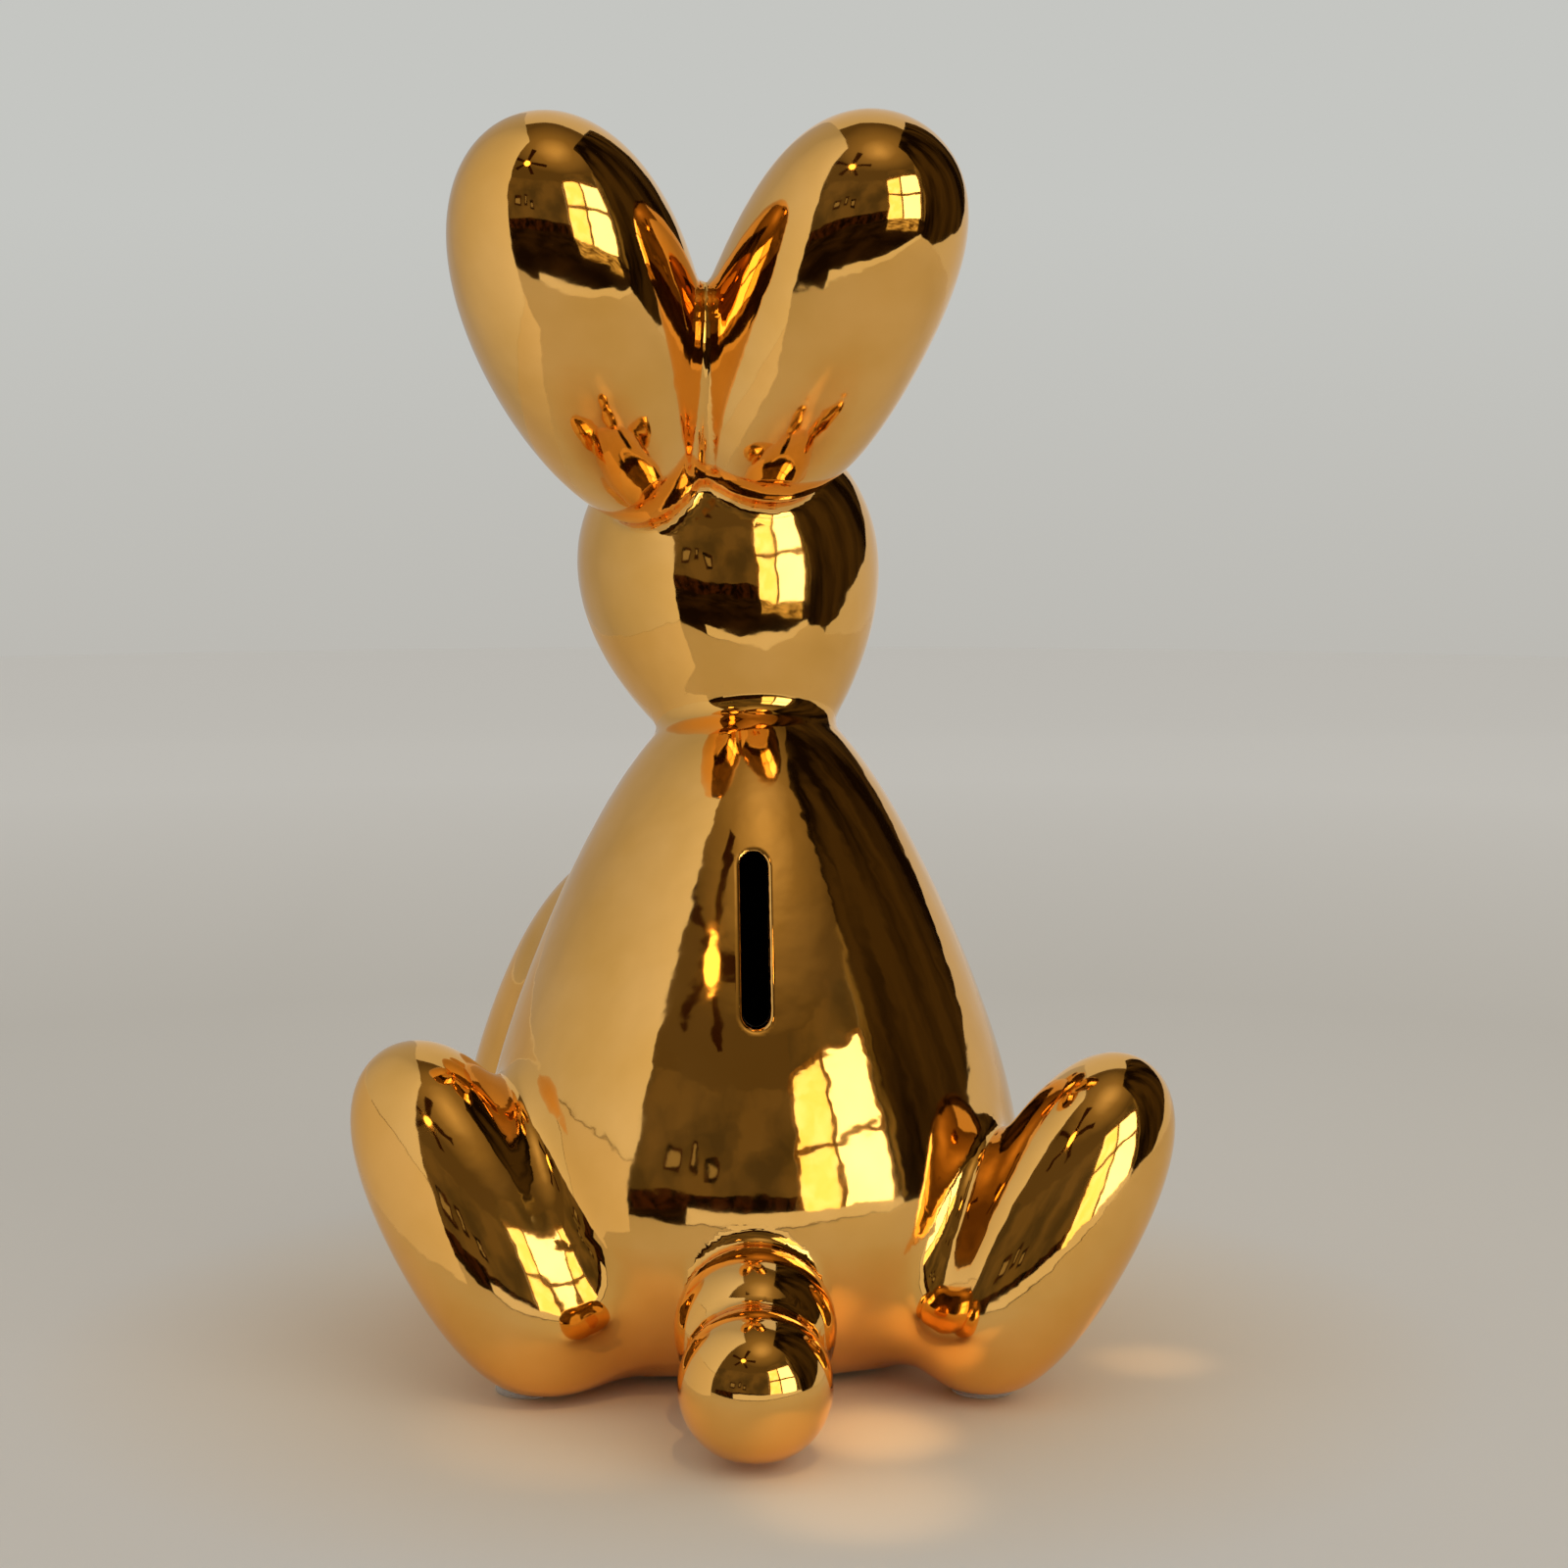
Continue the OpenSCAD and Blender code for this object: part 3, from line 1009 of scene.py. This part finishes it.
class SeenBy(Enum):
    """Which rays meet a piece of the studio."""

    ALL = ("visible_camera", "visible_diffuse", "visible_glossy", "visible_transmission", "visible_shadow")
    CAMERA = ("visible_camera", "visible_transmission")
    REFLECTIONS = ("visible_glossy",)


def around(azimuth: float, distance: float, height: float = 0.0) -> Point:
    """Return a place round the bank, its azimuth in degrees from +Y towards +X."""
    turn = math.radians(azimuth)
    return distance * math.sin(turn), distance * math.cos(turn), height


def circle(radius: float, height: float, turns: int) -> list[Point]:
    """Return evenly spaced points on a circle round Z."""
    angles = np.linspace(0, 2 * math.pi, turns, endpoint=False)
    return [(radius * math.cos(a), radius * math.sin(a), height) for a in angles]


def sheet(axis: int, level: float, first: tuple[float, float], second: tuple[float, float]) -> list[Point]:
    """Return the corners of a rectangle that is square to an axis.

    Args:
        axis: The axis: 0, 1 or 2.
        level: Where on it the rectangle lies.
        first: The rectangle's ends on the first of the other two axes.
        second: Its ends on the second.
    """
    (a, b), (low, high) = first, second
    return [(*pair[:axis], level, *pair[axis:]) for pair in ((a, low), (b, low), (b, high), (a, high))]


@dataclass
class Studio:
    """A pale paper floor, a plain grey backdrop and the cards that the gold mirrors."""

    floor_r: float = 1850.0
    backdrop_h: float = 1500.0
    turns: int = 96            # steps round the floor and the backdrop
    ceiling_h: float = 1500.0
    wall_foot: float = -60.0   # the room's walls start below the floor, so that no gap shows
    window_at: tuple[float, float] = (-18.0, -60.0)    # azimuths of the window's edges
    window_head: float = 1230.0
    window_distance: float = 1700.0

    def stand(self, name: str, points: Sequence[Point], faces: Sequence[Sequence[int]],
              material: Material, seen: SeenBy) -> Piece:
        """Put up one piece of the studio.

        Args:
            name: The piece's name.
            points: Its corners.
            faces: Its faces.
            material: Its material.
            seen: The rays that meet it.

        Returns:
            The piece.
        """
        piece = make_piece(name, points, faces, [material])
        for switch in SeenBy.ALL.value:
            setattr(piece, switch, switch in seen.value)
        piece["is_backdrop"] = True
        return piece

    def card(self, name: str, corners: Sequence[Point], material: Material) -> None:
        """Put up a flat card that only reflections see, from its corners in order."""
        self.stand(name, corners, [range(len(corners))], material, SeenBy.REFLECTIONS)

    def wall(self, name: str, azimuths: tuple[float, float], distance: float, material: Material,
             heights: tuple[float, float] | None = None) -> None:
        """Put up an upright reflection card that faces the bank.

        Args:
            name: The card's name.
            azimuths: Its two upright edges, in degrees from +Y towards +X.
            distance: How far its edges stand from the bank.
            material: Its material.
            heights: Its lower and upper edge, where it doesn't reach the ceiling.
        """
        first, second = azimuths
        foot, head = heights or (self.wall_foot, self.ceiling_h)
        places = ((first, foot), (second, foot), (second, head), (first, head))
        self.card(name, [around(azimuth, distance, height) for azimuth, height in places], material)

    def floor(self) -> None:
        """Roll out the round paper floor."""
        ring = circle(self.floor_r, 0.0, self.turns)
        self.stand("paper_floor", ring, [range(self.turns)], PaperSweep().make(), SeenBy.ALL)

    def backdrop(self) -> None:
        """Stand the grey wall round the floor's edge, seen by the camera only."""
        turns = self.turns
        points = circle(self.floor_r, -1.0, turns) + circle(self.floor_r, self.backdrop_h, turns)
        faces = [[i, (i + 1) % turns, turns + (i + 1) % turns, turns + i] for i in range(turns)]
        grey = GlowCard("grey_backdrop", "#BCBAB4", second="#C5C6C2", along=("Z", 0, 330)).make()
        self.stand("backdrop", points, faces, grey, SeenBy.CAMERA)

    def tray(self) -> None:
        """Fold the white card round the bank: its side wall, the wall's fold, its lip and its back."""
        side_x, edge_y, back_y, fold_z = 154, 143, -900, 86
        lit_to_dim = ("Y", edge_y, -90)
        white = GlowCard("white_side_card", "#DCDAD6", second="#A9A8A6", along=lit_to_dim).make()
        fold = GlowCard("white_fold_card", "#D8D2C8", second="#B0A99D", along=lit_to_dim).make()
        self.card("side_card_upper", sheet(0, side_x, (back_y, edge_y), (fold_z + 1, 700)), white)
        self.card("side_card_lower", [(side_x - 2, back_y, 0), (side_x - 2, edge_y, 0),
                                      (side_x, edge_y, fold_z), (side_x, back_y, fold_z)], fold)
        rising_x, lip_y, far_y = -580, 317, -1200
        self.card("floor_lip", [(rising_x, 300, 4), (side_x, lip_y, 4), (side_x, lip_y, 38),
                                (rising_x, lip_y, 30)], GlowCard("white_lip_card", "#DAD8D4").make())
        rise = ((97, 0), (-190, 130), (-437, 190), (-761, 329), (far_y, 490), (far_y, 0))
        self.card("paper_edge", [(rising_x, y, z) for y, z in rise],
                  GlowCard("white_rising_card", "#C4C2BE").make())
        gloom = GlowCard("gloom", "#120B06", second="#40331C", drift=160, upright=5.0).make()
        self.card("dark_side", sheet(0, rising_x - 20, (300, far_y), (0, self.ceiling_h)), gloom)
        self.card("back_card", sheet(1, far_y, (-1500, 1500), (0, 1400)),
                  GlowCard("white_back_card", "#C9C7C2").make())

    def window(self) -> None:
        """Hang the bright window: two sashes of two panes with wooden bars, and its curtain beside it."""
        ends = [Vector(around(azimuth, self.window_distance)) for azimuth in self.window_at]
        low, high = self.wall_foot, self.window_head
        bar = 0.025            # half a bar's share of the window's width
        sky = GlowCard("window_sky", "#FFFBE8", 3.2).make()
        garden = GlowCard("window_garden", "#FFE9A6", 2.0, "#FFF6D4", drift=160).make()
        for column, (start, end, view) in enumerate(((0.02, 0.43, garden), (0.43, 0.98, sky))):
            left, right = ends[0].lerp(ends[1], start + bar), ends[0].lerp(ends[1], end - bar)
            for row, (foot, head) in enumerate(((0.0, 0.52), (0.52, 0.97))):
                z0, z1 = (low + (high - low) * share for share in (foot + bar, head - bar))
                pane = [(*side.xy, z) for side, z in ((left, z0), (right, z0), (right, z1), (left, z1))]
                self.card(f"pane_{column}_{row}", pane, view)
        wood = GlowCard("window_wood", "#8A6A3C", second="#5A4020", drift=60).make()
        self.wall("window_frame", self.window_at, self.window_distance + 12, wood, (low, high))
        cloth = GlowCard("curtain", "#2A2112", second="#7C6C48", drift=110, upright=9.0).make()
        self.wall("curtain_card", (-60, -82), 1500, cloth)
        doorway = GlowCard("doorway", "#120B06", second="#4A3C22", drift=190, upright=5.0).make()
        self.wall("dark_doorway", (-82, -104), 1500, doorway)

    def room(self) -> None:
        """Stand the dim room behind the camera, with its ceiling, fan, pictures and furniture."""
        plaster = GlowCard("room_wall", "#4C4330", second="#6A5B3E", drift=700).make()
        for side, azimuths in (("front", (16, -18)), ("left", (50, 16)), ("far_left", (100, 50))):
            self.wall(f"room_wall_{side}", azimuths, 2300, plaster)
        self.wall("wall_over_window", self.window_at, self.window_distance + 20, plaster,
                  (self.window_head, self.ceiling_h))
        dark = GlowCard("dark_wood", "#0D0704", second="#38200F", drift=110).make()
        pale = GlowCard("picture_mounts", "#8F8468").make()
        self.wall("furniture", (60, -18), 1900, dark, (self.wall_foot, 190))
        frame_w = 70           # width of a picture's frame at its foot and head
        for start, width, foot, height in ((38, 7, 470, 300), (27, 3.5, 520, 330), (20, 4.5, 430, 260)):
            head = foot + height
            self.wall(f"picture_{start}", (start, start - width), 2150, dark, (foot, head))
            self.wall(f"mount_{start}", (start - 1, start - width + 1), 2140, pale,
                      (foot + frame_w, head - frame_w))
        self.table()
        self.ceiling()

    def table(self) -> None:
        """Lay the dark table that goes on past the paper, and the window's gleam on it."""
        dark = GlowCard("dark_table", "#150D07", second="#2E2112", drift=300).make()
        self.card("table_beyond", sheet(2, 0.4, (-2500, 2500), (320, 2400)), dark)
        gleam = GlowCard("table_gleam", "#5A4524", second="#E6CC8C", drift=120).make()
        (near_a, near_b), (far_a, far_b) = ([around(azimuth, distance, 1.0) for azimuth in (-21, -57)]
                                            for distance in (820.0, 1690.0))
        self.card("table_gleam", [near_a, near_b, far_b, far_a], gleam)

    def ceiling(self) -> None:
        """Hang the ceiling, and the fan with its lamp."""
        self.card("ceiling_card", sheet(2, self.ceiling_h, (2300, -1500), (-500, 2300)),
                  CeilingPaint().make())
        wood = GlowCard("fan_blades", "#2A1508").make()
        lamp = GlowCard("fan_lamp", "#FFC873", 4.0).make()
        hub, blades, width = Vector((520, 980, self.ceiling_h - 160)), 5, 130.0
        root, tip = (90, 0.3 * width), (520.0, 0.5 * width)    # reach and half width of a blade's ends
        for blade in range(blades):
            turn = math.radians(360 / blades * blade + 20)
            along = Vector((math.cos(turn), math.sin(turn), 0))
            across = Vector((-along.y, along.x, 0))
            corners = [tuple(hub + along * reach + across * half * side)
                       for (reach, half), side in ((root, -1), (tip, -1), (tip, 1), (root, 1))]
            self.card(f"fan_blade_{blade}", corners, wood)
        points, faces = lathe([(0, -90), (70, -70), (95, -20), (80, 20), (0, 30)], 24)
        self.stand("fan_lamp_bowl", points + np.array(hub), faces, lamp, SeenBy.REFLECTIONS)

    @staticmethod
    def lamp(name: str, kind: str, place: Point, target: Point, watts: float, colour: str) -> Piece:
        """Hang a lamp that points at a target, and that reflections don't see.

        Args:
            name: The lamp's name.
            kind: The lamp's type.
            place: Where it hangs.
            target: What it points at.
            watts: Its power.
            colour: Its sRGB hex colour.

        Returns:
            The lamp.
        """
        data = bpy.data.lights.new(name, kind)
        data.energy = watts
        data.color = linear(colour)[:3]
        lamp = bpy.data.objects.new(name, data)
        lamp.location = Vector(place) * MM
        lamp.rotation_euler = (Vector(target) * MM - lamp.location).to_track_quat("-Z", "Y").to_euler()
        lamp.visible_glossy = False
        bpy.context.scene.collection.objects.link(lamp)
        return lamp

    def light(self) -> None:
        """Light the floor softly: an even dome and one broad source on the window's side."""
        world = bpy.data.worlds.new("dome")
        world.use_nodes = True
        background = world.node_tree.nodes["Background"]
        background.inputs["Color"].default_value = linear("#FFFDF8")
        background.inputs["Strength"].default_value = 0.57
        bpy.context.scene.world = world
        softbox = self.lamp("window_softbox", "AREA", (-900, 1050, 800), (0, 0, 40), 4.0, "#FFF3E0")
        softbox.data.shape = "RECTANGLE"
        softbox.data.size, softbox.data.size_y = 1.3, 1.1
        softbox.visible_camera = False
        self.thrown_light()

    def thrown_light(self) -> None:
        """Throw the pools of warm light that the gold mirrors from the window on to the floor.

        Each pool has its place, how far aside its lamp hangs, its width in degrees and its watts.
        """
        lamp_z = 330
        pools = {
            "beside_tail": ((-22, 60), (-60, 190), 5.5, 3.0),
            "before_tail": ((-17, 98), (-40, 190), 8.0, 1.4),
            "right_of_leg": ((-82, 15), (-150, 60), 4.5, 1.1),
            "left_of_tail": ((36, 58), (-40, 190), 11.0, 0.8),
        }
        for name, ((x, y), (aside, behind), width, watts) in pools.items():
            pool = self.lamp(name, "SPOT", (x + aside, y + behind, lamp_z), (x, y, 0), watts, "#FFCE8E")
            pool.data.spot_size, pool.data.spot_blend = math.radians(width), 1.0
            pool.data.shadow_soft_size = 0.004

    def build(self) -> None:
        """Put up the whole studio."""
        self.floor()
        self.backdrop()
        self.tray()
        self.window()
        self.room()
        self.light()
        scene = bpy.context.scene
        scene.view_settings.view_transform = "Standard"


@dataclass
class Camera:
    """The camera, low behind the rabbit's tail."""

    place: Point = (17.7, 674.8, 200.0)
    heading: float = 2.085     # degrees that it looks to the rabbit's right of straight ahead
    pitch: float = 6.9         # degrees that it looks down
    lens: float = 76.03
    sensor: float = 36.0

    def build(self) -> None:
        """Set up the camera and make it the scene's."""
        data = bpy.data.cameras.new("camera")
        data.lens, data.sensor_width = self.lens, self.sensor
        data.clip_start, data.clip_end = 0.01, 20
        camera = bpy.data.objects.new("camera", data)
        camera.location = Vector(self.place) * MM
        turn, dip = math.radians(self.heading), math.radians(self.pitch)
        ahead = Vector((-math.sin(turn) * math.cos(dip), -math.cos(turn) * math.cos(dip), -math.sin(dip)))
        camera.rotation_euler = ahead.to_track_quat("-Z", "Y").to_euler()
        bpy.context.scene.collection.objects.link(camera)
        bpy.context.scene.camera = camera


def report_sizes() -> None:
    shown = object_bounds()
    for name, cad, seen in zip(("low", "high"), CAD_BOX, shown):
        LOG.info("%s corner moved by %s mm", name, [round((b - a) / MM, 2) for a, b in zip(cad, seen)])


def main() -> None:
    """Build the camera, the casting, the stopper, the pads and the studio, in that order."""
    logging.basicConfig(level=logging.INFO, format="%(name)s: %(message)s")
    Camera().build()
    CeramicCasting().build()
    Stopper().build()
    ClearPads().build()
    Studio().build()
    report_sizes()


if __name__ == "__main__":
    main()
